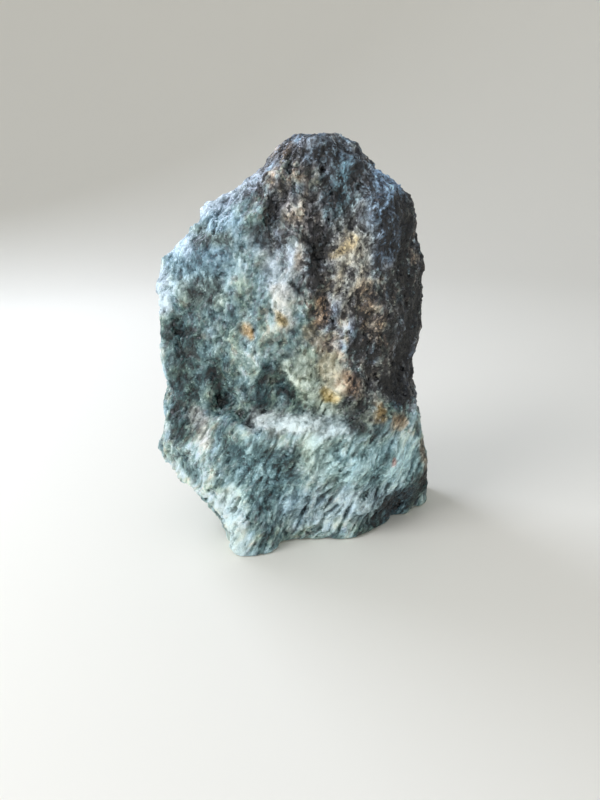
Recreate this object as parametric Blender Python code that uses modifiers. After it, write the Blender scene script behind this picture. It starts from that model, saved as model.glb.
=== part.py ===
"""Raw soapstone block: one broken lump of green soapstone that stands on its own foot.

The lump is knapped the way it broke. Three masses (crown, plinth and toe) are each cut out of a box by
their cleavage planes and joined, the join is rounded, and the broken skin is then worked over it: swells,
chip scars, fibrous grain, a weathered crust and a few named hollows and ribs. One closed body, +Z up, the
front facing -Y, the origin under the middle of its bounding box.
"""

import math

import bmesh
import bpy
from mathutils import Matrix, Vector, noise

# Driving dimensions, in millimetres. Everything below is laid out for a block of the drawn height, and
# grows or shrinks with HEIGHT.
HEIGHT = 268.0
DRAWN_HEIGHT = 268.0
MM = 0.001 * HEIGHT / DRAWN_HEIGHT
BOX_SIDE = 1000.0
FOOT_TRIM = 0.8

# The skin: the side of its small quads, how far smoothing rounds the arrises before the relief and settles
# it after, and the triangles it is thinned to before the foot is cut.
NOISE_SEED = 11
SKIN_VOXEL = 2.4
ROUNDING_FACTOR, ROUNDING_PASSES = 0.5, 5
SETTLING_FACTOR, SETTLING_PASSES = 0.4, 2
SKIN_TRIANGLES = 10100

SOAPSTONE_GREEN = (0.16, 0.25, 0.22, 1.0)
SOAPSTONE_ROUGHNESS = 0.42

# Each cleavage plane: a point on it in millimetres, then where it faces: the azimuth round from the front
# towards +X, and the elevation, in degrees.
CROWN = {
    "front_left": ((-40, -35, 100), -17, 6),
    "front_right": ((5, -38, 100), 6, 6),
    "upper_left_lean": ((-60, -22, 184), -30, 25),
    "right_front": ((50, -32, 175), 47, 4),
    "right_low": ((90, 8, 179), 92, -10),
    "right_high": ((92.5, 5, 187), 80, 14),
    "right_shoulder": ((70.5, 0, 229.5), 66, 22),
    "top_right": ((61, 0, 248.5), 57, 49),
    "summit_right": ((26.5, -2, 268), 60, 49),
    "summit": ((14, -5, 265.5), 6, 84),
    "top_left": ((-19, -6, 249.5), -62, 53),
    "left_brow": ((-58, -6, 218.5), -60, 51),
    "left_shoulder": ((-79.5, -6, 215), -66, 30),
    "left_high": ((-89.5, -6, 192), -78, 12),
    "left": ((-91, -6, 165), -84, 0),
    "left_low": ((-87.5, -6, 125), -86, -6),
    "back": ((0, 52, 60), 176, 8),
    "back_left": ((-71.5, 49, 90), -130, 7),
    "back_right": ((68, 42, 100), 138, 5),
    "back_brow": ((0, 36, 244), 168, 40),
    "back_top_left": ((-47, 20, 225), -128, 44),
    "back_top_right": ((58, 24, 240), 122, 46),
    "underside": ((0, 0, 62), 0, -90),
}
PLINTH = {
    "front": ((0, -47.5, 88), -3, -5),
    "front_left": ((-44, -44, 60), -24, -2),
    "front_right": ((43, -43.5, 30), 28, 0),
    "corner_chip": ((72.5, -16.5, 0), 32, -14),
    "right": ((96, 0, 28), 86, 3),
    "right_top": ((87, 0, 68), 86, 14),
    "ledge": ((0, -42.5, 95), 2, 55),
    "ledge_left": ((-46, -38, 98), -28, 48),
    "left": ((-102.5, -4, 62), -85, 11),
    "left_low": ((-102.5, -4, 58), -86, -10),
    "left_under": ((-71.5, -14, 36), -80, -54),
    "back": ((0, 57, 40), 178, 3),
    "back_left": ((-80, 38, 60), -142, -4),
    "back_right": ((77, 42, 50), 146, 3),
    "back_top": ((0, 52, 88), 178, 32),
    "left_top": ((-92, 8, 116), -100, 38),
    "top": ((0, 0, 124), 0, 90),
    "underside": ((0, 0, -9), 0, -90),
}
TOE = {
    "left_flank": ((-50.5, -45.5, 0), -56, 9),
    "tip": ((-37, -54.5, 0), -3, 13),
    "right_flank": ((-23, -49, 0), 36, 9),
    "top": ((-38, -46, 46), -8, 40),
    "left_end": ((-59, -24, 2), -81, -29),
    "back": ((0, 10, 0), 180, 0),
    "right_end": ((20, 0, 0), 90, 0),
    "underside": ((0, 0, -9), 0, -90),
}

# The broken skin. Lengths and heights in millimetres, angles in degrees.
SWELL_LENGTH, SWELL_HEIGHT = 58.0, 3.4
CHIP_LENGTH, CHIP_HEIGHT = 34.0, 7.0
FLAKE_LENGTH, FLAKE_HEIGHT = 15.0, 2.8

# A chip scar, in shares of its length: how deep it is scooped, how far it leans, and the mean height that is
# taken off so that scars don't swell the block. Neighbouring scars lean at random, spread by LEAN_SPREAD.
SCAR_SCOOP, SCAR_LEAN, SCAR_MEAN = 0.7, 1.5, 0.18
LEAN_SPREAD = 3.7

# Fibrous grain: upright above the plinth, slanted below it, and never quite straight.
GRAIN_ACROSS, GRAIN_ALONG, GRAIN_HEIGHT = 8.0, 30.0, 1.3
GRAIN_WANDER_LENGTH, GRAIN_WANDER = 26.0, 7.0
GRAIN_CREST, GRAIN_FALL = 0.5, 2.0
SLANTED_BELOW, UPRIGHT_ABOVE = 71.0, 116.0
PLINTH_GRAIN_SLANT = 24.0

# The weathered crust: the upper right of a line that leans across the block at CRUST_LEVEL, where it
# starts over CRUST_EDGE, and only above CRUST_FOOT.
CRUST_ACROSS, CRUST_ALONG, CRUST_HEIGHT = 9.0, 15.0, 2.4
CRUST_LEVEL, CRUST_LEAN = 180.0, 0.5
CRUST_EDGE, CRUST_FOOT = (-14.0, 8.0), (85.0, 110.0)
CRUST_SHIFT = Vector((5.0, 5.0, 5.0))

# Named forms of the front: a line from one point to another (x, z), how wide it reaches, and how far it
# stands out of the skin, or goes in where that is negative. They fade out over FRONT_TURN as the skin turns
# away from the front, and wander so that no form is a straight groove.
FRONT_TURN = (0.1, 0.5)
FORM_WANDER_LENGTH, FORM_WANDER = 16.0, 9.0
FRONT_FORMS = {
    "recess": ((-17, 126), (-14, 106), 15, -7.0),
    "recess_cheek": ((-38, 113), (-20, 134), 8, 3.0),
    "recess_far_side": ((-3, 134), (16, 103), 9, 2.5),
    "notch_upper": ((-57, 131), (-52, 108), 7, -6.0),
    "notch_lower": ((-52, 106), (-34, 97), 6, -6.5),
    "left_valley": ((-79, 162), (-76, 92), 9, -2.5),
    "left_crevice": ((-9, 232), (-19, 210), 7, -5.5),
    "top_valley": ((13, 232), (13, 190), 9, -4.5),
    "rust_pit": ((18, 170), (16, 162), 9, -5.0),
    "middle_rib": ((-2, 204), (-6, 172), 11, 4.5),
    "crust_boss": ((32, 206), (36, 180), 15, 4.0),
    "cream_boss": ((20, 126), (26, 116), 12, 3.0),
    "lower_boss": ((34, 108), (56, 92), 15, 5.0),
    "brow_dent": ((-46, 233), (-60, 222), 16, -8.0),
    "corner_hollow": ((67, 0), (68, 14), 12, -6.0),
    "plinth_hollow": ((-44, 72), (-42, 56), 9, -3.0),
    "plinth_dimple": ((52, 66), (49, 50), 8, -2.5),
    "plinth_boss": ((66, 62), (60, 44), 11, 2.5),
}


def facing(azimuth, elevation):
    """The unit vector that faces that way."""
    a, e = math.radians(azimuth), math.radians(elevation)
    return Vector((math.sin(a) * math.cos(e), -math.cos(a) * math.cos(e), math.sin(e)))


def knapped(name, planes):
    """A box cut down by its cleavage planes, as an object."""
    bm = bmesh.new()
    bmesh.ops.create_cube(bm, size=BOX_SIDE * MM)
    for point, azimuth, elevation in planes.values():
        cut = bmesh.ops.bisect_plane(
            bm,
            geom=bm.verts[:] + bm.edges[:] + bm.faces[:],
            plane_co=Vector(point) * MM,
            plane_no=facing(azimuth, elevation),
            clear_outer=True,
        )
        rim = [edge for edge in cut["geom_cut"] if isinstance(edge, bmesh.types.BMEdge)]
        if rim:
            bmesh.ops.contextual_create(bm, geom=rim)
    bmesh.ops.recalc_face_normals(bm, faces=bm.faces[:])
    mesh = bpy.data.meshes.new(name)
    bm.to_mesh(mesh)
    bm.free()
    return bpy.data.objects.new(name, mesh)


def smoothstep(low, high, value):
    t = min(max((value - low) / (high - low), 0.0), 1.0)
    return t * t * (3.0 - 2.0 * t)


def scars(point, length):
    """Chip scars: every chip is a shallow tilted scoop, and the deepest one at a point is what shows."""
    place = point / length
    heights = []
    for distance, centre in zip(*noise.voronoi(place)):
        lean = noise.noise_vector(centre * LEAN_SPREAD)
        heights.append(SCAR_SCOOP * distance + SCAR_LEAN * lean.dot(place - centre))
    return min(heights) - SCAR_MEAN


def grain(point):
    """Fibrous ridges, each where the stretched noise crosses zero."""
    slant = PLINTH_GRAIN_SLANT * smoothstep(UPRIGHT_ABOVE, SLANTED_BELOW, point.z)
    wander = noise.noise_vector(point / GRAIN_WANDER_LENGTH) * GRAIN_WANDER
    turned = Matrix.Rotation(math.radians(-slant), 3, "Y") @ (point + wander)
    stretched = Vector((turned.x / GRAIN_ACROSS, turned.y / GRAIN_ACROSS, turned.z / GRAIN_ALONG))
    return GRAIN_CREST - GRAIN_FALL * abs(noise.noise(stretched))


def crust(point):
    """Lumps and pits of the weathered skin, which the upper right keeps."""
    share = smoothstep(*CRUST_EDGE, point.x + CRUST_LEAN * (point.z - CRUST_LEVEL))
    share *= smoothstep(*CRUST_FOOT, point.z)
    place = Vector((point.x / CRUST_ACROSS, point.y / CRUST_ACROSS, point.z / CRUST_ALONG))
    return share * noise.noise(place + CRUST_SHIFT)


def front_form(point, start, end, reach):
    """1 on the line from start to end on the front, falling to 0 at its reach."""
    a, b = Vector(start), Vector(end)
    across = Vector((point.x, point.z))
    along = min(max((across - a).dot(b - a) / (b - a).length_squared, 0.0), 1.0)
    return 1.0 - smoothstep(0.0, reach, (across - a.lerp(b, along)).length)


def relief(point, normal):
    """How far the skin stands out of the rounded masses at a point, in millimetres."""
    height = SWELL_HEIGHT * noise.noise(point / SWELL_LENGTH)
    height += CHIP_HEIGHT * scars(point, CHIP_LENGTH)
    height += FLAKE_HEIGHT * scars(point, FLAKE_LENGTH)
    height += GRAIN_HEIGHT * grain(point)
    height += CRUST_HEIGHT * crust(point)
    front = smoothstep(*FRONT_TURN, -normal.y)
    wandered = point + noise.noise_vector(point / FORM_WANDER_LENGTH) * FORM_WANDER
    for start, end, reach, rise in FRONT_FORMS.values():
        height += front * rise * front_form(wandered, start, end, reach)
    return height


def work_skin(mesh):
    """Moves each vertex along its normal by the relief there."""
    moved = [v.co + v.normal * relief(v.co / MM, v.normal) * MM for v in mesh.vertices]
    for vertex, place in zip(mesh.vertices, moved):
        vertex.co = place


def evaluated_mesh(obj, name):
    """The object's mesh with its modifiers applied, as new data."""
    graph = bpy.context.evaluated_depsgraph_get()
    mesh = bpy.data.meshes.new_from_object(obj.evaluated_get(graph))
    mesh.name = name
    return mesh


def cut_foot(mesh):
    """Cuts the underside flat, and puts the origin in the middle of it, under the bounding box."""
    bm = bmesh.new()
    bm.from_mesh(mesh)
    cut = bmesh.ops.bisect_plane(
        bm,
        geom=bm.verts[:] + bm.edges[:] + bm.faces[:],
        plane_co=(0, 0, FOOT_TRIM * MM),
        plane_no=(0, 0, -1),
        clear_outer=True,
    )
    rim = [edge for edge in cut["geom_cut"] if isinstance(edge, bmesh.types.BMEdge)]
    bmesh.ops.edgeloop_fill(bm, edges=rim)
    middle = [(min(v.co[i] for v in bm.verts) + max(v.co[i] for v in bm.verts)) / 2 for i in (0, 1)]
    bmesh.ops.translate(bm, verts=bm.verts[:], vec=(-middle[0], -middle[1], -FOOT_TRIM * MM))
    bmesh.ops.recalc_face_normals(bm, faces=bm.faces[:])
    bm.to_mesh(mesh)
    bm.free()


def soapstone():
    material = bpy.data.materials.new("soapstone")
    material.use_nodes = True
    shader = material.node_tree.nodes["Principled BSDF"]
    shader.inputs["Base Color"].default_value = SOAPSTONE_GREEN
    shader.inputs["Roughness"].default_value = SOAPSTONE_ROUGHNESS
    shader.inputs["Metallic"].default_value = 0.0
    return material


def add_skin_modifiers(stone):
    """Rounds the joined masses: an even skin of small quads, with the arrises worn down."""
    remesh = stone.modifiers.new("skin", "REMESH")
    remesh.mode = "VOXEL"
    remesh.voxel_size = SKIN_VOXEL * MM
    rounding = stone.modifiers.new("rounding", "SMOOTH")
    rounding.factor = ROUNDING_FACTOR
    rounding.iterations = ROUNDING_PASSES


def add_thinning_modifiers(stone):
    """Settles the worked skin and thins it to its triangle budget."""
    settling = stone.modifiers.new("settling", "SMOOTH")
    settling.factor = SETTLING_FACTOR
    settling.iterations = SETTLING_PASSES
    thin = stone.modifiers.new("thinning", "DECIMATE")
    thin.ratio = SKIN_TRIANGLES / (2 * len(stone.data.polygons))


def main():
    for obj in list(bpy.data.objects):
        bpy.data.objects.remove(obj)
    noise.seed_set(NOISE_SEED)
    block = bpy.data.collections.new("soapstone_block")
    masses = bpy.data.collections.new("masses")
    bpy.context.scene.collection.children.link(block)
    bpy.context.scene.collection.children.link(masses)

    stone = knapped("soapstone_block", CROWN)
    block.objects.link(stone)
    for name, planes in (("plinth_mass", PLINTH), ("toe_mass", TOE)):
        mass = knapped(name, planes)
        mass.hide_render = True
        mass.display_type = "WIRE"
        masses.objects.link(mass)
        join = stone.modifiers.new("join_" + name, "BOOLEAN")
        join.operation = "UNION"
        join.object = mass

    add_skin_modifiers(stone)
    skin = evaluated_mesh(stone, "worked_skin")
    work_skin(skin)
    stone.modifiers.clear()
    stone.data = skin
    add_thinning_modifiers(stone)
    thinned = evaluated_mesh(stone, "soapstone_block")
    cut_foot(thinned)
    stone.modifiers.clear()
    stone.data = thinned
    stone.data.materials.append(soapstone())


main()
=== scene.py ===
"""The looks of a raw soapstone block.

One piece, the broken stone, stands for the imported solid: the same lump, with its skin worked down to about a
millimetre and coloured as damp, broken soapstone. Places and lengths on it are in millimetres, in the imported
part's frame: +X right, -Y to the front, +Z up, the foot at 0. Floor, lamps and camera are in metres.
"""

import math

import bmesh
import bpy
import numpy as np
from mathutils import Matrix, Vector, noise


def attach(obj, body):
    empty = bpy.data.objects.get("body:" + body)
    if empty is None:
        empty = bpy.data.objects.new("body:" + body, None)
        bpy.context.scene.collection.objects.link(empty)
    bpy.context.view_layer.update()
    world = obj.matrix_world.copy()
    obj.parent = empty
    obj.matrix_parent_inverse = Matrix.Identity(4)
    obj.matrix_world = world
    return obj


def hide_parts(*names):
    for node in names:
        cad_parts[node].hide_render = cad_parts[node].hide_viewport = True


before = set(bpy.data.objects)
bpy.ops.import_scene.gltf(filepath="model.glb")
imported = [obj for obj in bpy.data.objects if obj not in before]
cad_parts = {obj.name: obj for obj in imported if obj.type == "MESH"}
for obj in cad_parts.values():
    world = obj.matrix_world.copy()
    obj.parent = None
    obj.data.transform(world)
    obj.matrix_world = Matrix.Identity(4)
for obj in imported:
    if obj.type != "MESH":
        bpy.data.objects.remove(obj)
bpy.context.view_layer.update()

MM = 0.001
TINY = 1e-6
NOISE_SEED = 5

# Each of these fields of noise is read at its own shift, so that no two of them line up.
SHIFTS = {
    "lumps": 3.0,
    "crust_behind": 7.0,
    "tone": 11.0,
    "crust_foot": 17.0,
    "gouges": 31.0,
    "rust_behind": 41.0,
    "mottles": 53.0,
}

# The skin: points this near are one, the side of its small faces while it is worked, how often it is
# smoothed, what it is thinned to afterwards, and the angle in degrees from which an edge stays sharp.
WELD = 0.01
SKIN_VOXEL = 1.2
SKIN_SMOOTHING = 4
MOST_TRIANGLES = 194000
CREASE_ANGLE = 10.0

# Hollows are measured against a mean of the skin round them, taken this many times: narrow and wide ones.
NARROW, WIDE = 4, 60

# The grain leans to the right in the plinth and stands nearly upright in the crown: heights, degrees there,
# and the heights between which its drift is summed up, a millimetre at a time.
GRAIN_HEIGHTS, GRAIN_LEANS = (88.0, 140.0), (25.0, 8.0)
GRAIN_RANGE = (-20.0, 320.0)

# Relief of the fine skin: each feature's length across the grain and along it, and its height.
CHIPS = (13.0, 19.0, 2.2)
FLAKES = (6.0, 8.5, 1.8)
CRYSTALS = (3.1, 4.0, 0.8)
LUMPS = (4.2, 6.5, 1.1)
FIBRES = (3.6, 16.0, 0.35)
PITS = (5.5, 9.0, 1.5)
GOUGES = (3.8, 15.0, 1.8)

# How each of them is shaped. Fibres stand higher in the plinth, which ends between these heights.
PLINTH_FIBRES = 0.9
PLINTH_TOP = (112.0, 84.0)
FIBRE_CREST, FIBRE_FALL = 0.5, 2.0
PIT_SHARE = 0.3
SCAR_SCOOP, SCAR_LEAN, SCAR_MEAN, SCAR_TURN = 0.7, 1.5, 0.18, 3.7
BLOCK_LEAN, BLOCK_STEP = 1.3, 0.7

# Where gouges lie: the noise that makes one, from what height and to what height, how deep they are at the
# left and where the right starts, and how far they face the front.
GOUGE_NOISE = (0.14, 0.42)
GOUGE_LOW, GOUGE_HIGH = (4.0, 9.0), (56.0, 32.0)
GOUGE_LEFT, GOUGE_RIGHT = 0.35, (-25.0, 5.0)
GOUGE_FACING = (0.2, 0.6)

# Wide hollows past the first depth are filled by this share of the rest, of which at most the last number
# counts. The relief fades between these heights, so that none touches the foot.
FILLED_BELOW, FILLED_SHARE, FILLED_MOST = 0.8, 0.9, 4.0
FOOT_FADE = (0.0, 4.0)

# How places wander before a pattern reads them: over what length, and how far.
RELIEF_WANDER = (24.0, 3.5)
CRYSTAL_WANDER = (6.0, 0.6)
COLOUR_WANDER = (16.0, 3.0)
EDGE_WANDERS = ((13.0, 4.5), (4.5, 2.2))
CRUST_WANDER = (22.0, 9.0)

# The back starts between these depths, and strokes of the front fade out between those.
BACK_STARTS = (5.0, 35.0)
FRONT_ENDS = (30.0, 8.0)

# The weathered crust covers the upper right: to the right of this leaning line, above this height. Its foot
# sinks towards the back, and is broken up where the right side turns away.
CRUST_LEVEL, CRUST_LEAN = 180.0, 0.5
CRUST_EDGE, CRUST_FOOT = (-8.0, 15.0), (86.0, 112.0)
CRUST_SINK, CRUST_SINK_FROM = 0.5, -30.0
CRUST_DROP, CRUST_DROP_LENGTH, CRUST_DROP_STARTS = 30.0, 28.0, (-20.0, 10.0)

# Behind it lies in clouds of this length, more of it over this height.
BEHIND_LENGTH, BEHIND_EDGE = 60.0, (-0.05, 0.25)
BEHIND_LEVEL, BEHIND_RISE = 150.0, 260.0

# Paler and darker places of the front, both the stone's own tone and painted light and shade: from one point
# to another (x, z), how wide, and how much paler, where 1 is all the way from black to white.
TONES_AND_PAINTED_LIGHT = {
    # The crown; its crevice is darkened with painted shade over brown stone.
    "top_light": ((13, 261), (15, 252), 4, 0.26),
    "top_dark": ((25, 258), (36, 245), 8, -0.14),
    "top_pale": ((-10, 251), (-7, 246), 5, 0.16),
    "top_brown": ((3, 261), (0, 256), 5, -0.12),
    "brown_face": ((3, 246), (2, 232), 5, -0.20),
    "crevice": ((-8, 228), (-17, 210), 6, -0.28),
    "crown_pale": ((-6, 222), (-3, 213), 5, 0.04),
    "crown_gap": ((1, 226), (3, 222), 5, -0.14),
    "crown_grains": ((24, 232), (22, 226), 5, 0.08),
    "streak": ((15, 232), (17, 205), 5, -0.10),
    "streak_low": ((14, 198), (10, 178), 7, -0.12),
    "top_teal": ((37, 240), (31, 233), 9, -0.14),
    "top_teal_dark": ((28, 251), (30, 247), 6, -0.20),
    # The right shoulder: painted highlights and reflections on the facets that face up, and painted shade over
    # dark crust on the face turned away to the right.
    "facet_side": ((45, 232), (44, 212), 7, 0.26),
    "blue_facet": ((60, 240), (66, 236), 9, 0.20),
    "dark_blue": ((64, 222), (66, 203), 11, -0.30),
    "dark_blue_low": ((58, 200), (53, 186), 7, -0.10),
    "right_face": ((86, 225), (76, 112), 20, -0.34),
    # The crust below it.
    "beige_grains": ((36, 199), (34, 184), 13, 0.16),
    "beige_right": ((31, 195), (31, 188), 6, 0.16),
    "beige_edge": ((45, 198), (44, 184), 5, 0.20),
    "right_middle": ((33, 180), (33, 164), 7, -0.20),
    "right_band": ((49, 172), (44, 140), 9, -0.14),
    "white_streak": ((31, 152), (28, 140), 6, 0.30),
    "white_side": ((17, 147), (18, 142), 5, -0.10),
    "cream_top": ((25, 136), (24, 130), 6, 0.12),
    "low_crust": ((42, 122), (58, 112), 9, -0.10),
    "blue_black": ((74, 128), (74, 108), 9, -0.20),
    # The left rim and brow: painted highlights along the bevels and edges that turn to the light at the left,
    # with stone of its own tone between them.
    "rim_bevel": ((-84, 186), (-86, 166), 9, 0.34),
    "shoulder_bevel": ((-78, 213), (-68, 204), 9, 0.30),
    "brow_bevel": ((-56, 228), (-44, 232), 8, 0.14),
    "upper_brow_bevel": ((-38, 238), (-20, 245), 7, 0.14),
    "brow_green": ((-64, 211), (-38, 208), 6, -0.08),
    "upper_flank": ((-62, 206), (-44, 206), 16, -0.08),
    "brow_pale": ((-60, 214), (-50, 218), 5, 0.18),
    "brow_middle": ((-31, 208), (-28, 204), 6, 0.12),
    "shoulder_low": ((-60, 200), (-54, 190), 8, -0.10),
    "left_edge": ((-90, 156), (-91, 66), 4, 0.28),
    "undercut_edge": ((-92, 58), (-62, 36), 5, 0.36),
    "undercut_foot": ((-62, 36), (-52, 22), 5, 0.36),
    # The left flank.
    "dark_left_flank": ((-75, 150), (-73, 92), 16, -0.24),
    "dark_flank_low": ((-86, 112), (-83, 88), 8, -0.14),
    "flank_middle": ((-60, 168), (-62, 140), 14, -0.12),
    "flank_spot": ((-42, 163), (-38, 156), 7, -0.14),
    "flank_dark_grains": ((-64, 181), (-50, 174), 7, -0.18),
    "flank_pale_spot": ((-32, 198), (-34, 188), 6, 0.18),
    "flank_light": ((-60, 134), (-64, 118), 6, 0.08),
    "flank_pale": ((-67, 95), (-64, 80), 9, 0.32),
    "flank_pale_top": ((-73, 107), (-72, 101), 5, -0.13),
    "left_pale": ((-68, 72), (-67, 54), 10, 0.23),
    # The bump in the middle: pale stone, with a painted highlight on its top and side.
    "bump": ((3, 203), (-10, 178), 12, 0.13),
    "bump_low": ((-12, 184), (-7, 167), 10, 0.07),
    "cream_low": ((-6, 169), (0, 162), 6, 0.20),
    "bump_gap": ((2, 184), (2, 180), 2.5, -0.22),
    "bump_top": ((5, 201), (6, 190), 7, 0.40),
    "bump_side": ((-8, 211), (-11, 200), 7, 0.28),
    "bump_brow": ((-1, 209), (1, 207), 4, -0.20),
    "beside_bump": ((-20, 192), (-20, 184), 6, -0.12),
    "right_of_bump": ((15, 185), (14, 173), 3, -0.10),
    "cream_grains": ((-13, 160), (-9, 154), 8, 0.22),
    "cream_dark": ((-8, 161), (-8, 160), 2.5, -0.25),
    # The recess, and the notch beside it: painted shade in the notch under its overhang and in the recess, and
    # painted light on the lit faces and the ridge between them.
    "recess_brow": ((-36, 146), (-24, 139), 8, 0.16),
    "above_recess": ((-20, 152), (-14, 153), 6, 0.21),
    "recess": ((-18, 133), (-23, 105), 5, -0.18),
    "recess_middle": ((-31, 128), (-34, 106), 6, 0.02),
    "recess_right": ((-8, 127), (-4, 106), 7, -0.20),
    "recess_floor": ((-28, 113), (-6, 113), 10, -0.16),
    "recess_ridge": ((-5, 133), (4, 116), 2.4, 0.32),
    "notch": ((-54, 124), (-52, 104), 5, -0.40),
    "notch_foot": ((-50, 103), (-30, 96), 4, -0.22),
    "notch_right": ((-42, 130), (-44, 118), 6, -0.18),
    # From the recess down to the ledge.
    "above_diagonal": ((-7, 149), (-6, 137), 3.5, -0.16),
    "ledge_diagonal": ((5, 120), (19, 102), 6, 0.16),
    "cream_patch": ((22, 133), (26, 117), 8, 0.27),
    "cream_foot": ((31, 113), (33, 110), 4, -0.12),
    "rust_ring": ((53.8, 99.7), (54.2, 99.2), 2.5, -0.16),
    "dark_grain": ((38, 104), (44, 76), 10, -0.30),
    # The ledge: white talc, with painted light on its upward face.
    "ledge_core": ((-21, 95.5), (4, 94), 2.2, 0.16),
    "ledge_left": ((-21, 96), (-14, 95), 4.2, 0.54),
    "ledge_middle": ((-10, 95), (10, 93), 3.2, 0.26),
    "ledge_right": ((19, 91), (31, 88), 3.2, 0.30),
    "below_ledge": ((-8, 81), (19, 84), 6, 0.22),
    # The plinth.
    "plinth_middle": ((-40, 88), (10, 84), 8, 0.05),
    "plinth_dark": ((-42, 73), (-42, 60), 9, -0.12),
    "plinth_green": ((-12, 74), (-16, 34), 12, -0.14),
    "left_middle_pale": ((-38, 60), (-37, 50), 8, 0.18),
    "pale_green": ((5, 86), (12, 58), 13, 0.20),
    "middle_teal": ((37, 72), (34, 40), 15, 0.24),
    "plinth_gap": ((27, 76), (28, 71), 5, -0.28),
    "right_dark": ((58, 70), (56, 58), 6, -0.12),
    "right_middle_pale": ((45, 68), (43, 58), 7, 0.15),
    "right_pale": ((70, 82), (77, 72), 7, 0.14),
    "right_teal": ((68, 72), (68, 44), 13, 0.23),
    "red_speck": ((64, 62), (64, 61), 2, -0.20),
    "brown_rim": ((89, 66), (90, 32), 3.5, -0.20),
    "beside_rim": ((83, 66), (82, 40), 3, -0.12),
    # The foot and the toe, with painted shade at the right of the foot.
    "foot_pale": ((0, 34), (42, 18), 15, 0.17),
    "foot_rim": ((2, 13), (32, 9), 8, 0.20),
    "foot_shade": ((52, 4), (92, 28), 15, -0.40),
    "beside_toe": ((-32, 34), (-28, 16), 8, -0.16),
    "toe": ((-46, 40), (-44, 8), 12, 0.39),
}

# Stains, veins and minerals of the front, and painted reflections of a bluish sky, laid on in this order:
# the tint, then as above, and how much of it.
STAINS_AND_REFLECTIONS = {
    # cool_flank, cool_flank_low and cool_bump are the painted blue of sky light on the upper left flank and on
    # the bump.
    "cool_flank": ("#bce6ff", (-62, 198), (-46, 208), 24, 0.75),
    "cool_flank_low": ("#caf3ff", (-68, 195), (-58, 190), 12, 0.60),
    "brow_green": ("#e4fbee", (-64, 211), (-38, 208), 7, 0.70),
    "flank_green": ("#e8fff4", (-68, 180), (-48, 173), 10, 0.60),
    "cool_bump": ("#e4f2ff", (-12, 206), (-2, 184), 14, 0.65),
    "cream_bump": ("#fff7e6", (-5, 176), (-4, 160), 8, 0.60),
    # From pale_rim to dark_blue: painted reflections of a bluish sky on the bevels at the left and on the
    # facets of the crown that face up.
    "pale_rim": ("#dcf2ff", (-85, 184), (-86, 168), 7, 0.80),
    "pale_shoulder": ("#d4ecff", (-78, 212), (-68, 205), 9, 0.80),
    "pale_brow": ("#dceeff", (-56, 229), (-20, 244), 9, 0.80),
    "cool_top": ("#c2e2ff", (14, 260), (34, 252), 14, 0.70),
    "teal_top": ("#aee8ff", (36, 240), (30, 228), 12, 0.80),
    "facet_side": ("#e2f4ff", (45, 234), (46, 208), 9, 0.60),
    "blue_facet": ("#b8dcff", (58, 241), (66, 236), 12, 0.90),
    "dark_blue": ("#b4daff", (62, 228), (60, 200), 15, 0.80),
    "blue_black": ("#b8d4ff", (76, 130), (74, 108), 10, 0.60),
    "right_cool": ("#dceaff", (72, 146), (70, 134), 10, 0.40),
    "top_rust": ("#ffdcbc", (-5, 259), (4, 259), 5, 0.70),
    "brown_face": ("#ffecd8", (-3, 233), (-2, 228), 7, 0.55),
    "dark_brown": ("#ffe9da", (14, 226), (14, 214), 9, 0.50),
    "beige_patch": ("#fff6dc", (37, 208), (36, 180), 16, 0.65),
    "ochre_streak": ("#ffe2a8", (27, 200), (38, 207), 4, 0.65),
    "right_rust": ("#ffd8b0", (46, 173), (51, 152), 9, 0.55),
    "pit_rust": ("#ffcf9e", (19, 168), (18, 158), 7, 0.75),
    "brown_vein": ("#ffdcb6", (12, 150), (22, 138), 7, 0.55),
    "iron_spot": ("#ffd69a", (-30, 157), (-30, 153), 4, 0.90),
    "cream_spot": ("#ffe2a4", (-9, 162), (-8, 158), 4, 0.80),
    "olive_band": ("#fbf8e4", (40, 102), (64, 118), 15, 0.55),
    "diagonal_green": ("#f2ffe4", (2, 130), (20, 100), 12, 0.70),
    "cream_patch": ("#fff5d0", (20, 129), (27, 118), 10, 0.85),
    "red_brown": ("#ffd0aa", (33, 121), (39, 114), 7, 0.70),
    "ochre_tear": ("#ffdf8e", (21, 111), (26, 109), 5, 0.85),
    "brown_spots": ("#ffdca0", (53.8, 101), (54.5, 98), 5, 0.80),
    "brown_edge": ("#ffdcb8", (66, 91), (70, 86), 5, 0.75),
    "plinth_teal": ("#c0f2ff", (-34, 68), (-14, 40), 24, 0.65),
    "right_teal": ("#c2f4ff", (34, 62), (70, 54), 22, 0.70),
    "low_teal": ("#d2f0ff", (0, 28), (60, 26), 18, 0.60),
    "pale_green": ("#defff4", (10, 86), (14, 62), 16, 0.60),
    "ledge_talc_left": ("#f3fffd", (-28, 98), (-16, 96), 7, 1.00),
    "ledge_talc": ("#eefffc", (-12, 95), (14, 93), 6, 0.95),
    "ledge_talc_right": ("#e5fcff", (20, 92), (34, 88), 6, 0.80),
    "flank_pink": ("#fff5f0", (-67, 95), (-63, 82), 8, 0.55),
    "red_speck": ("#ffc8bc", (64, 62), (64, 61), 2, 0.80),
    "toe_talc": ("#e4fffc", (-48, 36), (-46, 6), 9, 0.60),
    "rim_brown": ("#ffe6c8", (89, 66), (90, 32), 4, 0.65),
    "foot_cool": ("#c4ecff", (76, 24), (68, 8), 12, 0.75),
}

# A stroke reaches this many times the width in its row, and is full within this share of that.
STROKE_SPREAD, STROKE_CORE = 1.3, 0.25

# Under the strokes the tone drifts in clouds of this length, little in front and more behind. Gouges in front
# get painted shade, darker by GOUGE_SHADE, and tints vary by MOTTLE.
DRIFT_LENGTH, DRIFT_FRONT, DRIFT_BACK = 30.0, 0.05, 0.17
GOUGE_SHADE = 0.26
MOTTLE = 0.3

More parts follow.
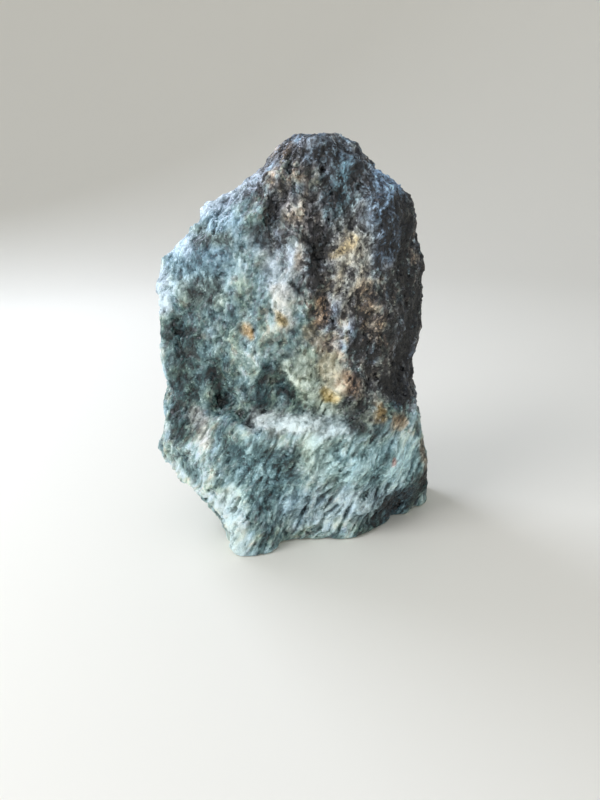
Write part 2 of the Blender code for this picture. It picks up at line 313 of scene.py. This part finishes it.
# Rust behind: its tint, the length of its clouds, the noise that makes one, and how much of it.
RUST, RUST_LENGTH, RUST_NOISE, RUST_SHARE = "#ffe2c4", 17.0, (0.25, 0.6), 0.55

# Grain of the colour, each its length across the grain and along it. Specks are drawn about a millimetre wide
# so that they show, where most real talc flakes are finer.
PATCHES = (13.0, 22.0)
BANDS = (3.6, 12.0)
BLOTS = (4.4, 5.4)
GRAINS = (2.7, 3.7)
SPECKS = (1.1, 1.3)
HUES = (9.0, 13.0)
MOTTLES = (3.0, 8.0)

# How pale a grain is, 0 to 1, and how far patches and grains change that: in green stone, and in the crust.
PALENESS = (0.555, 0.37)
PATCH_STRENGTH = (0.95, 1.8)
GRAIN_CONTRAST = (0.65, 1.45)

# How far bands, grains and specks count, less the mean of their noise. The palest specks get a painted
# glint, by so much.
BAND_STRENGTH, BAND_MEAN = 0.9, 0.5
GRAIN_SHARE, SPECK_SHARE, GRAIN_MEAN = 0.21, 0.25, 0.23
PAINTED_GLINT_SPECKS, PAINTED_GLINT = (0.9, 0.96), 0.12

# Ridges wear paler and narrow hollows get painted shade: between these depths, by this much. The wide
# hollows get painted shade as well, which leaves this share of the light.
WORN_DEPTHS, WORN = (-0.4, -0.1), 0.05
SHADE_DEPTHS, SHADE = (0.03, 0.5), -0.18
WIDE_SHADE_DEPTHS, WIDE_SHADE_LEAVES = (0.4, 3.0), 0.6

# Each kind of stone from its darkest to its palest, the hues that tint it, and how far a speck shifts those.
GREEN_STONE = (
    (0.0, "#061214"),
    (0.2, "#1f3a3b"),
    (0.4, "#526b6a"),
    (0.6, "#8ca09c"),
    (0.8, "#c0d2ce"),
    (1.0, "#f2f8f7"),
)
GREY_STONE = (
    (0.0, "#060607"),
    (0.2, "#2e2d2f"),
    (0.4, "#636364"),
    (0.6, "#989999"),
    (0.8, "#cbcccd"),
    (1.0, "#f6f7f8"),
)
GREEN_HUES = ((0.32, "#fbfff0"), (0.48, "#f2fcfd"), (0.68, "#dcf1ff"))
CRUST_HUES = ((0.34, "#ffe6cc"), (0.44, "#fff6ea"), (0.53, "#f4f8fd"), (0.66, "#cfe2fb"))
SPECK_HUE = 0.03

# How a Mix node multiplies a colour by a tint.
BY_TINT = {"data_type": "RGBA", "blend_type": "MULTIPLY"}

# Stains and painted reflections tint dark green stone more than pale: how pale it is, and how strong they are
# there.
TINT_PALENESS, TINT_STRENGTH = (0.2, 0.8), (1.7, 0.85)

# Damp talc is waxy, and each speck is somewhere from half-glossy to nearly matt.
STONE_ROUGHNESS = (0.28, 0.62)
STONE_IOR = 1.55

# How far specks face their own ways, how high grains stand over each other, and how much of that shows.
SPECK_TILT = 0.6
GRAIN_STEP, GRAIN_STEP_STRENGTH = 0.4, 0.5

# Camera, in metres and degrees, and its film and lens.
CAMERA_PLACE = (0.0024, -0.4041, 0.2524)
CAMERA_PITCH, CAMERA_ROLL = 21.73, -2.25
SENSOR_HEIGHT, LENS = 36.0, 27.0
CAMERA_CLIP = 0.01

# The floor, in metres, and how many steps its sweep and its turn have.
FLOOR_RADIUS, SWEEP_RADIUS = 1.0, 1.1
SWEEP_STEPS, TURN_STEPS = 24, 96

# The share of each colour in what the eye takes for lightness.
LIGHTNESS = (0.2126, 0.7152, 0.0722)

# The kind of attribute and its field, by how many numbers a vertex has.
ATTRIBUTE_KINDS = {1: ("FLOAT", "value"), 3: ("FLOAT_VECTOR", "vector"), 4: ("FLOAT_COLOR", "color")}


def linear(hex_colour):
    """An sRGB hex value as a linear colour, by the curve of that standard."""
    parts = [int(hex_colour[i : i + 2], 16) / 255 for i in (1, 3, 5)]
    return (*(c / 12.92 if c <= 0.04045 else ((c + 0.055) / 1.055) ** 2.4 for c in parts), 1.0)


def even_tint(hex_colour):
    """A tint that colours what it multiplies and leaves its lightness."""
    tint = np.array(linear(hex_colour)[:3])
    return tint / (tint @ LIGHTNESS)


def smoothstep(low, high, values):
    """0 up to low, 1 from high, and a smooth rise between. It falls where high is the lower one."""
    t = np.clip((values - low) / (high - low), 0.0, 1.0)
    return t * t * (3.0 - 2.0 * t)


def places_of(mesh):
    """Each vertex's place, in millimetres."""
    flat = np.empty(len(mesh.vertices) * 3)
    mesh.vertices.foreach_get("co", flat)
    return flat.reshape(-1, 3) / MM


def normals_of(mesh):
    """The way that each vertex faces."""
    flat = np.empty(len(mesh.vertices) * 3)
    mesh.vertices.foreach_get("normal", flat)
    return flat.reshape(-1, 3)


def clouds(places, shift=0.0):
    """Smooth noise at each place, about -1 to 1, its features one unit long."""
    return np.array([noise.noise(p) for p in (places + shift).tolist()])


def wander(places, length, far):
    """The places pushed about, each up to that far."""
    pushed = [noise.noise_vector(p) for p in (places / length).tolist()]
    return places + far * np.array(pushed)


def scars(places):
    """Chip scars: every chip is a shallow tilted scoop, and the deepest one at a place is what shows."""
    heights = []
    for place in map(Vector, places.tolist()):
        distances, centres = noise.voronoi(place)
        leans = [noise.noise_vector(centre * SCAR_TURN).dot(place - centre) for centre in centres]
        heights.append(min(SCAR_SCOOP * d + SCAR_LEAN * lean for d, lean in zip(distances, leans)))
    return np.array(heights) - SCAR_MEAN


def blocks(places):
    """Broken crystals: every one ends in its own tilted face, higher or lower than those beside it."""
    heights = []
    for place in map(Vector, places.tolist()):
        centre = noise.voronoi(place)[1][0]
        way = noise.noise_vector(centre * SCAR_TURN)
        heights.append(BLOCK_LEAN * way.dot(place - centre) + BLOCK_STEP * way.x)
    return np.array(heights)


def pits(places):
    """1 in the middle of a round pit, 0 outside."""
    nearest = np.array([noise.voronoi(p)[0][0] for p in places.tolist()])
    return smoothstep(PIT_SHARE, 0.0, nearest)


def along_grain(places):
    """The places with the grain stood upright."""
    heights = np.arange(*GRAIN_RANGE)
    drift = np.cumsum(np.tan(np.radians(np.interp(heights, GRAIN_HEIGHTS, GRAIN_LEANS))))
    straight = places.copy()
    straight[:, 0] -= np.interp(places[:, 2], heights, drift)
    return straight


def scaled(grain, feature):
    """Places along the grain, in units of a feature's lengths."""
    across, along = feature[:2]
    return grain / (across, across, along)


def gouges(grain, places):
    """Short furrows along the grain, low on the stone and deepest at the right: up to 1 in one, 0 between."""
    furrow = smoothstep(*GOUGE_NOISE, clouds(scaled(grain, GOUGES), SHIFTS["gouges"]))
    x, z = places[:, 0], places[:, 2]
    low = smoothstep(*GOUGE_LOW, z) * smoothstep(*GOUGE_HIGH, z)
    return furrow * low * (GOUGE_LEFT + (1.0 - GOUGE_LEFT) * smoothstep(*GOUGE_RIGHT, x))


def crust_share(places):
    """Where the weathered crust lies, 0 to 1."""
    x, y, z = wander(places, *CRUST_WANDER).T
    drop = clouds(places / CRUST_DROP_LENGTH, SHIFTS["crust_foot"])
    drop *= CRUST_DROP * smoothstep(*CRUST_DROP_STARTS, y)
    front = smoothstep(*CRUST_EDGE, x + CRUST_LEAN * (z - CRUST_LEVEL))
    front *= smoothstep(*CRUST_FOOT, z + CRUST_SINK * (y - CRUST_SINK_FROM) + drop)
    rise = (z - BEHIND_LEVEL) / BEHIND_RISE
    behind = smoothstep(*BEHIND_EDGE, clouds(places / BEHIND_LENGTH, SHIFTS["crust_behind"]) + rise)
    back = smoothstep(*BACK_STARTS, places[:, 1])
    return front * (1.0 - back) + behind * back


def stroke(places, start, end, width):
    """1 on a line across the front (x, z), falling to 0 at its reach; nothing at the back."""
    a, b = np.array(start, float), np.array(end, float)
    across = places[:, (0, 2)]
    span = b - a
    along = np.clip((across - a) @ span / max(span @ span, TINY), 0.0, 1.0)
    away = np.hypot(*(across - a - along[:, None] * span).T)
    reach = STROKE_SPREAD * width
    return smoothstep(reach, STROKE_CORE * reach, away) * smoothstep(*FRONT_ENDS, places[:, 1])


def hollows(mesh, passes):
    """How far each vertex lies under the mean of what surrounds it, in millimetres; ridges are below 0."""
    edges = np.empty(len(mesh.edges) * 2, np.int32)
    mesh.edges.foreach_get("vertices", edges)
    first, second = edges.reshape(-1, 2).T
    places = places_of(mesh)
    count = len(places)
    neighbours = np.bincount(first, minlength=count) + np.bincount(second, minlength=count)
    mean = places.copy()
    for _ in range(passes):
        total = np.zeros_like(mean)
        for axis in range(3):
            total[:, axis] += np.bincount(first, mean[second, axis], count)
            total[:, axis] += np.bincount(second, mean[first, axis], count)
        mean = total / neighbours[:, None]
    return ((mean - places) * normals_of(mesh)).sum(1)


def apply_modifiers(stone):
    """Gives the stone the mesh that its modifiers make, and takes them off."""
    graph = bpy.context.evaluated_depsgraph_get()
    mesh = bpy.data.meshes.new_from_object(stone.evaluated_get(graph))
    mesh.name = "broken_stone"
    stone.modifiers.clear()
    stone.data = mesh


def even_skin(node):
    """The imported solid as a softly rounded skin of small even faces, as a new object."""
    mesh = node.data.copy()
    bm = bmesh.new()
    bm.from_mesh(mesh)
    bmesh.ops.remove_doubles(bm, verts=bm.verts[:], dist=WELD * MM)
    bm.to_mesh(mesh)
    bm.free()
    mesh.materials.clear()
    stone = bpy.data.objects.new("broken_stone", mesh)
    bpy.context.scene.collection.objects.link(stone)
    rounding = stone.modifiers.new("rounding", "SUBSURF")
    rounding.levels = rounding.render_levels = 1
    remesh = stone.modifiers.new("even faces", "REMESH")
    remesh.mode = "VOXEL"
    remesh.voxel_size = SKIN_VOXEL * MM
    settling = stone.modifiers.new("settling", "SMOOTH")
    settling.factor = 0.5
    settling.iterations = SKIN_SMOOTHING
    apply_modifiers(stone)
    return stone


def work_relief(stone):
    """Breaks the skin: chips, flakes, crystal faces, fibres, the pitted crust and the furrows by the foot."""
    mesh = stone.data
    places, normals = places_of(mesh), normals_of(mesh)
    crust = crust_share(places)
    grain = along_grain(places)
    wavy = wander(grain, *RELIEF_WANDER)
    height = CHIPS[2] * scars(scaled(wavy, CHIPS))
    height += FLAKES[2] * scars(scaled(wavy, FLAKES))
    height += CRYSTALS[2] * blocks(scaled(wander(grain, *CRYSTAL_WANDER), CRYSTALS))
    plinth = smoothstep(*PLINTH_TOP, places[:, 2])
    ridged = FIBRE_CREST - FIBRE_FALL * np.abs(clouds(scaled(wavy, FIBRES)))
    height += (FIBRES[2] + (PLINTH_FIBRES - FIBRES[2]) * plinth) * ridged
    height += LUMPS[2] * crust * clouds(scaled(grain, LUMPS), SHIFTS["lumps"])
    height -= PITS[2] * crust * pits(scaled(wavy, PITS))
    height -= GOUGES[2] * gouges(grain, places) * smoothstep(*GOUGE_FACING, -normals[:, 1])
    height += FILLED_SHARE * np.clip(hollows(mesh, WIDE) - FILLED_BELOW, 0.0, FILLED_MOST)
    height *= smoothstep(*FOOT_FADE, places[:, 2])
    places += normals * height[:, None]
    places[:, 2] = np.maximum(places[:, 2], 0.0)
    mesh.vertices.foreach_set("co", (places * MM).ravel())
    mesh.update()


def thin(stone):
    """Thins the skin to its triangle budget, most where it is flattest."""
    triangles = sum(len(face.vertices) - 2 for face in stone.data.polygons)
    if triangles <= MOST_TRIANGLES:
        return
    thinning = stone.modifiers.new("thinning", "DECIMATE")
    thinning.ratio = MOST_TRIANGLES / triangles
    apply_modifiers(stone)


def note(mesh, name, values):
    """Keeps a number, a vector or a colour for each vertex where the material can read it."""
    kind, field = ATTRIBUTE_KINDS[values.size // len(values)]
    layer = mesh.attributes.new(name, kind, "POINT")
    layer.data.foreach_set(field, values.astype(np.float32).ravel())


def tone_of(places, ragged, back):
    """How much paler or darker each place is than its stone, painted light and shade included."""
    tone = (DRIFT_FRONT + DRIFT_BACK * back) * clouds(places / DRIFT_LENGTH, SHIFTS["tone"])
    # Painted shade in the gouges in front.
    tone -= GOUGE_SHADE * gouges(along_grain(places), places) * (1.0 - back)
    for start, end, width, amount in TONES_AND_PAINTED_LIGHT.values():
        tone += amount * stroke(ragged, start, end, width)
    return tone


def stain_and_reflection_of(ragged, back, mottle):
    """The tint of the stains and painted reflections at each place, and how much of it, as a colour and its
    alpha.
    """
    stain_and_reflection = np.zeros((len(ragged), 4))
    stain_and_reflection[:, :3] = even_tint(RUST)
    rusty = smoothstep(*RUST_NOISE, clouds(ragged / RUST_LENGTH, SHIFTS["rust_behind"]))
    stain_and_reflection[:, 3] = RUST_SHARE * back * rusty
    for colour, start, end, width, amount in STAINS_AND_REFLECTIONS.values():
        share = np.clip(amount * stroke(ragged, start, end, width) * mottle, 0.0, 1.0)
        kept = stain_and_reflection[:, 3] * (1.0 - share)
        mixed = stain_and_reflection[:, :3] * kept[:, None] + even_tint(colour) * share[:, None]
        stain_and_reflection[:, 3] = kept + share
        stain_and_reflection[:, :3] = mixed / np.maximum(stain_and_reflection[:, 3:], TINY)
    return stain_and_reflection


def colour_fields(stone):
    """Works out the grain, the tone with its painted light and shade, the crust, the hollows, and the stains
    and painted reflections for the material.
    """
    mesh = stone.data
    places = places_of(mesh)
    ragged = places
    for length, far in EDGE_WANDERS:
        ragged = wander(ragged, length, far)
    back = smoothstep(*BACK_STARTS, places[:, 1])
    grain = along_grain(wander(places, *COLOUR_WANDER))
    mottle = 1.0 + MOTTLE * clouds(scaled(grain, MOTTLES), SHIFTS["mottles"])
    note(mesh, "grain", grain * MM)
    note(mesh, "tone", tone_of(places, ragged, back))
    note(mesh, "crust", crust_share(places))
    note(mesh, "hollow", hollows(mesh, NARROW))
    note(mesh, "deep", hollows(mesh, WIDE))
    note(mesh, "stain_and_reflection", stain_and_reflection_of(ragged, back, mottle))


def add(tree, kind, inputs=(), stops=(), **settings):
    """Adds a node. Inputs are values or other nodes' outputs, and stops are a ramp's places and colours."""
    node = tree.nodes.new("ShaderNode" + kind)
    for name, value in settings.items():
        setattr(node, name, value)
    for socket, value in dict(inputs).items():
        if isinstance(value, bpy.types.NodeSocket):
            tree.links.new(value, node.inputs[socket])
        else:
            node.inputs[socket].default_value = value
    for i, (place, colour) in enumerate(stops):
        stop = node.color_ramp.elements[i] if i < 2 else node.color_ramp.elements.new(place)
        stop.position = place
        stop.color = linear(colour)
    return node


def patch_part(tree, units, crust):
    """Broad patches, stronger in the crust: what they add to how pale a grain is."""
    noises = add(tree, "TexNoise", {"Vector": units[PATCHES], "Scale": 1.0, "Detail": 3.0, "Roughness": 0.55})
    patch = add(tree, "Math", {0: noises.outputs["Fac"], 1: 0.5}, operation="SUBTRACT").outputs[0]
    low, high = PATCH_STRENGTH
    strength = add(tree, "MapRange", {"Value": crust, "To Min": low, "To Max": high}).outputs[0]
    return add(tree, "Math", {0: patch, 1: strength}, operation="MULTIPLY").outputs[0]


def band_part(tree, units, grain):
    """Threads along the grain in the plinth, and rounder blots above it: what they add."""
    height = add(tree, "SeparateXYZ", {"Vector": grain}).outputs["Z"]
    low, high = (level * MM for level in sorted(PLINTH_TOP))
    upper = add(tree, "MapRange", {"Value": height, "From Min": low, "From Max": high}).outputs[0]
    bands = add(tree, "TexNoise", {"Vector": units[BANDS], "Scale": 1.0, "Detail": 2.0, "Roughness": 0.5})
    blots = add(tree, "TexNoise", {"Vector": units[BLOTS], "Scale": 1.0, "Detail": 2.0, "Roughness": 0.6})
    both = {"Factor": upper, "A": bands.outputs["Fac"], "B": blots.outputs["Fac"]}
    band = add(tree, "Mix", both).outputs["Result"]
    band = add(tree, "Math", {0: band, 1: BAND_MEAN}, operation="SUBTRACT").outputs[0]
    return add(tree, "Math", {0: band, 1: BAND_STRENGTH}, operation="MULTIPLY").outputs[0]


def grain_part(tree, grain_grey, speck, crust):
    """Each grain and speck has its own grey, and they differ more in the crust: what they add."""
    loose = {0: grain_grey, 1: GRAIN_SHARE, 2: -GRAIN_MEAN}
    loose = add(tree, "Math", loose, operation="MULTIPLY_ADD").outputs[0]
    loose = add(tree, "Math", {0: speck, 1: SPECK_SHARE, 2: loose}, operation="MULTIPLY_ADD").outputs[0]
    low, high = GRAIN_CONTRAST
    contrast = add(tree, "MapRange", {"Value": crust, "To Min": low, "To Max": high}).outputs[0]
    return add(tree, "Math", {0: loose, 1: contrast}, operation="MULTIPLY").outputs[0]


def wear_shade_and_glint_parts(tree, hollow, speck):
    """Ridges worn pale, painted shade in narrow hollows, and a painted glint on the few palest specks: what
    each of them adds.
    """
    parts = []
    for values, (start, end), at_start, at_end in (
        (hollow, WORN_DEPTHS, WORN, 0.0),
        (hollow, SHADE_DEPTHS, 0.0, SHADE),
        (speck, PAINTED_GLINT_SPECKS, 0.0, PAINTED_GLINT),
    ):
        span = {"Value": values, "From Min": start, "From Max": end, "To Min": at_start, "To Max": at_end}
        parts.append(add(tree, "MapRange", span).outputs[0])
    return parts


def stain_and_reflection_tint(tree, value, crust, colour):
    """The tint of stains and painted reflections: stronger in dark green stone, weaker in pale, and plain in
    the crust.
    """
    (dark, pale), (strong, weak) = TINT_PALENESS, TINT_STRENGTH
    depth = {"Value": value, "From Min": dark, "From Max": pale, "To Min": strong, "To Max": weak}
    depth = add(tree, "MapRange", depth).outputs[0]
    depth = add(tree, "Mix", {"Factor": crust, "A": depth, "B": 1.0}).outputs["Result"]
    white = (1.0, 1.0, 1.0, 1.0)
    mixed = {"Factor": depth, "A": white, "B": colour}
    return add(tree, "Mix", mixed, data_type="RGBA", clamp_factor=False).outputs["Result"]


def broken_face(tree, grain_grey, speck_colour):
    """The way the skin faces: each grain stands higher or lower, and each speck is broken at its own tilt."""
    step = {"Height": grain_grey, "Distance": GRAIN_STEP * MM, "Strength": GRAIN_STEP_STRENGTH}
    stepped = add(tree, "Bump", step).outputs[0]
    tilt = add(tree, "VectorMath", {0: speck_colour, 1: (0.5, 0.5, 0.5)}, operation="SUBTRACT").outputs[0]
    faces = {0: tilt, 1: (SPECK_TILT,) * 3, 2: stepped}
    faces = add(tree, "VectorMath", faces, operation="MULTIPLY_ADD").outputs[0]
    return add(tree, "VectorMath", {0: faces}, operation="NORMALIZE").outputs[0]


def soapstone():
    """Damp soapstone, broken by hand: talc and chlorite in fine leaning threads, from black-green to chalky
    white, with a waxy, half-glossy skin, under a brown and grey crust where it weathered. Highlights,
    reflections and shade are painted into its colour as well."""
    material = bpy.data.materials.new("damp_broken_soapstone")
    material.use_nodes = True
    tree = material.node_tree
    tree.nodes.clear()
    tone, crust, hollow, deep, stain_and_reflection, grain = (
        add(tree, "Attribute", attribute_name=name).outputs
        for name in ("tone", "crust", "hollow", "deep", "stain_and_reflection", "grain")
    )
    tone, crust, hollow, deep = (field["Fac"] for field in (tone, crust, hollow, deep))

    # The place along the grain in units of each feature's lengths, for the patterns to read.
    units = {}
    for feature in (PATCHES, BANDS, BLOTS, GRAINS, SPECKS, HUES):
        across, along = (length * MM for length in feature)
        place = {"Vector": grain["Vector"], "Scale": (across, across, along)}
        units[feature] = add(tree, "Mapping", place, vector_type="TEXTURE").outputs[0]

    # The grains and the specks in them. Each has a grey of its own, and a speck a hue.
    grains = add(tree, "TexVoronoi", {"Vector": units[GRAINS], "Scale": 1.0}).outputs["Color"]
    grain_grey = add(tree, "SeparateColor", {"Color": grains}).outputs[0]
    specks = add(tree, "TexVoronoi", {"Vector": units[SPECKS], "Scale": 1.0}).outputs["Color"]
    speck, speck_hue, _ = add(tree, "SeparateColor", {"Color": specks}).outputs

    # How pale each grain is, 0 to 1: its kind of stone, then all that is added to it, painted light and shade
    # among that.
    in_green, in_crust = PALENESS
    value = add(tree, "MapRange", {"Value": crust, "To Min": in_green, "To Max": in_crust}).outputs[0]
    for part in (
        tone,
        patch_part(tree, units, crust),
        band_part(tree, units, grain["Vector"]),
        grain_part(tree, grain_grey, speck, crust),
        *wear_shade_and_glint_parts(tree, hollow, speck),
    ):
        value = add(tree, "Math", {0: value, 1: part}).outputs[0]

    # The green stone and the crust, each in its own hues, and the ragged line where they meet.
    hue = add(tree, "TexNoise", {"Vector": units[HUES], "Scale": 1.0, "Detail": 1.0}).outputs["Fac"]
    hue = add(tree, "Math", {0: speck_hue, 1: SPECK_HUE, 2: hue}, operation="MULTIPLY_ADD").outputs[0]
    hue = add(tree, "Math", {0: hue, 1: 0.5 * SPECK_HUE}, operation="SUBTRACT").outputs[0]
    green, grey, green_hue, crust_hue = (
        add(tree, "ValToRGB", {"Fac": level}, stops=stops).outputs[0]
        for level, stops in ((value, GREEN_STONE), (value, GREY_STONE), (hue, GREEN_HUES), (hue, CRUST_HUES))
    )
    line = add(tree, "Math", {0: crust, 1: grain_grey}, operation="SUBTRACT").outputs[0]
    line = add(tree, "MapRange", {"Value": line, "From Min": -0.5, "From Max": 0.5}).outputs[0]
    green = add(tree, "Mix", {"Factor": 1.0, "A": green, "B": green_hue}, **BY_TINT).outputs["Result"]
    weathered = add(tree, "Mix", {"Factor": 1.0, "A": grey, "B": crust_hue}, **BY_TINT).outputs["Result"]
    stone = {"Factor": line, "A": green, "B": weathered}
    stone = add(tree, "Mix", stone, data_type="RGBA").outputs["Result"]

    # Stains and painted reflections tint the stone, and leave each grain its own light and dark.
    tinted = {"Factor": 1.0, "A": grey, "B": stain_and_reflection_tint(tree, value, crust, stain_and_reflection["Color"])}
    tinted = add(tree, "Mix", tinted, clamp_result=True, **BY_TINT).outputs["Result"]
    stone = {"Factor": stain_and_reflection["Alpha"], "A": stone, "B": tinted}
    stone = add(tree, "Mix", stone, data_type="RGBA").outputs["Result"]

    # Painted shade in the wide hollows.
    shallow, full = WIDE_SHADE_DEPTHS
    left = {"Value": deep, "From Min": shallow, "From Max": full, "To Min": 1.0, "To Max": WIDE_SHADE_LEAVES}
    left = add(tree, "MapRange", left).outputs[0]
    stone = add(tree, "VectorMath", {0: stone, "Scale": left}, operation="SCALE").outputs[0]

    glossy, matt = STONE_ROUGHNESS
    roughness = add(tree, "MapRange", {"Value": speck, "To Min": glossy, "To Max": matt}).outputs[0]
    faces = broken_face(tree, grain_grey, specks)
    skin = {"Base Color": stone, "Roughness": roughness, "IOR": STONE_IOR, "Normal": faces}
    shader = add(tree, "BsdfPrincipled", skin)
    add(tree, "OutputMaterial", {"Surface": shader.outputs[0]})
    return material


def studio_card():
    """Matt studio card, painted: a warm off-white with hardly any sheen."""
    material = bpy.data.materials.new("matt_studio_card")
    material.use_nodes = True
    tree = material.node_tree
    tree.nodes.clear()
    shader = add(tree, "BsdfPrincipled", {"Base Color": linear("#f0ebdf"), "Roughness": 0.9})
    add(tree, "OutputMaterial", {"Surface": shader.outputs[0]})
    return material


def make_floor():
    """A round floor that sweeps up at its rim, the same from every side."""
    bm = bmesh.new()
    verts = [bm.verts.new((r, 0, 0)) for r in (0, FLOOR_RADIUS)]
    for step in range(1, SWEEP_STEPS + 1):
        angle = math.radians(90 * step / SWEEP_STEPS)
        x = FLOOR_RADIUS + SWEEP_RADIUS * math.sin(angle)
        verts.append(bm.verts.new((x, 0, SWEEP_RADIUS * (1 - math.cos(angle)))))
    edges = [bm.edges.new(pair) for pair in zip(verts, verts[1:])]
    bmesh.ops.spin(
        bm,
        geom=verts + edges,
        cent=(0, 0, 0),
        axis=(0, 0, 1),
        angle=2 * math.pi,
        steps=TURN_STEPS,
        use_merge=True,
    )
    bmesh.ops.remove_doubles(bm, verts=bm.verts[:], dist=WELD * MM)
    bmesh.ops.recalc_face_normals(bm, faces=bm.faces[:])
    mesh = bpy.data.meshes.new("studio_floor")
    bm.to_mesh(mesh)
    bm.free()
    mesh.shade_smooth()
    floor = bpy.data.objects.new("studio_floor", mesh)
    floor.data.materials.append(studio_card())
    bpy.context.scene.collection.objects.link(floor)


def make_lamp(name, place, aim, size, watts, colour):
    """A square soft lamp at a place, turned towards another. Lengths are in metres."""
    lamp = bpy.data.lights.new(name, "AREA")
    lamp.size = size
    lamp.energy = watts
    lamp.color = linear(colour)[:3]
    holder = bpy.data.objects.new(name, lamp)
    holder.location = place
    holder.rotation_euler = (Vector(aim) - Vector(place)).to_track_quat("-Z", "Y").to_euler()
    bpy.context.scene.collection.objects.link(holder)


def light_studio():
    """A cool window at the left, a bluer one behind it, a weak fill in front, and pale air all round."""
    make_lamp("window", (-0.8, -0.45, 0.8), (0, 0, 0.13), size=0.6, watts=7.0, colour="#f4f7ff")
    make_lamp("sky_behind", (-0.75, 0.7, 0.85), (0, 0, 0.15), size=0.6, watts=9.0, colour="#dfeaff")
    make_lamp("front_fill", (0.1, -1.15, 0.55), (0, 0, 0.13), size=0.8, watts=1.5, colour="#f8f8f8")
    world = bpy.data.worlds.new("studio_air")
    world.use_nodes = True
    shader = world.node_tree.nodes["Background"]
    shader.inputs["Color"].default_value = linear("#e2e8f0")
    shader.inputs["Strength"].default_value = 0.62
    bpy.context.scene.world = world
    bpy.context.scene.view_settings.view_transform = "Standard"


def place_camera():
    """The camera that the block is seen from, tipped down at it and rolled a little."""
    camera = bpy.data.cameras.new("camera")
    camera.sensor_fit = "VERTICAL"
    camera.sensor_height = SENSOR_HEIGHT
    camera.lens = LENS
    camera.clip_start = CAMERA_CLIP
    holder = bpy.data.objects.new("camera", camera)
    pitch = Matrix.Rotation(math.radians(90 - CAMERA_PITCH), 4, "X")
    roll = Matrix.Rotation(math.radians(CAMERA_ROLL), 4, "Z")
    holder.matrix_world = Matrix.Translation(CAMERA_PLACE) @ pitch @ roll
    bpy.context.scene.collection.objects.link(holder)
    bpy.context.scene.camera = holder


def main():
    """The stone, its skin worked and coloured, and the studio round it."""
    noise.seed_set(NOISE_SEED)
    stone = even_skin(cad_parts["soapstone_block"])
    work_relief(stone)
    thin(stone)
    colour_fields(stone)
    stone.data.shade_smooth()
    stone.data.set_sharp_from_angle(angle=math.radians(CREASE_ANGLE))
    stone.data.materials.append(soapstone())
    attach(stone, "root")
    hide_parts("soapstone_block")
    make_floor()
    light_studio()
    place_camera()


main()
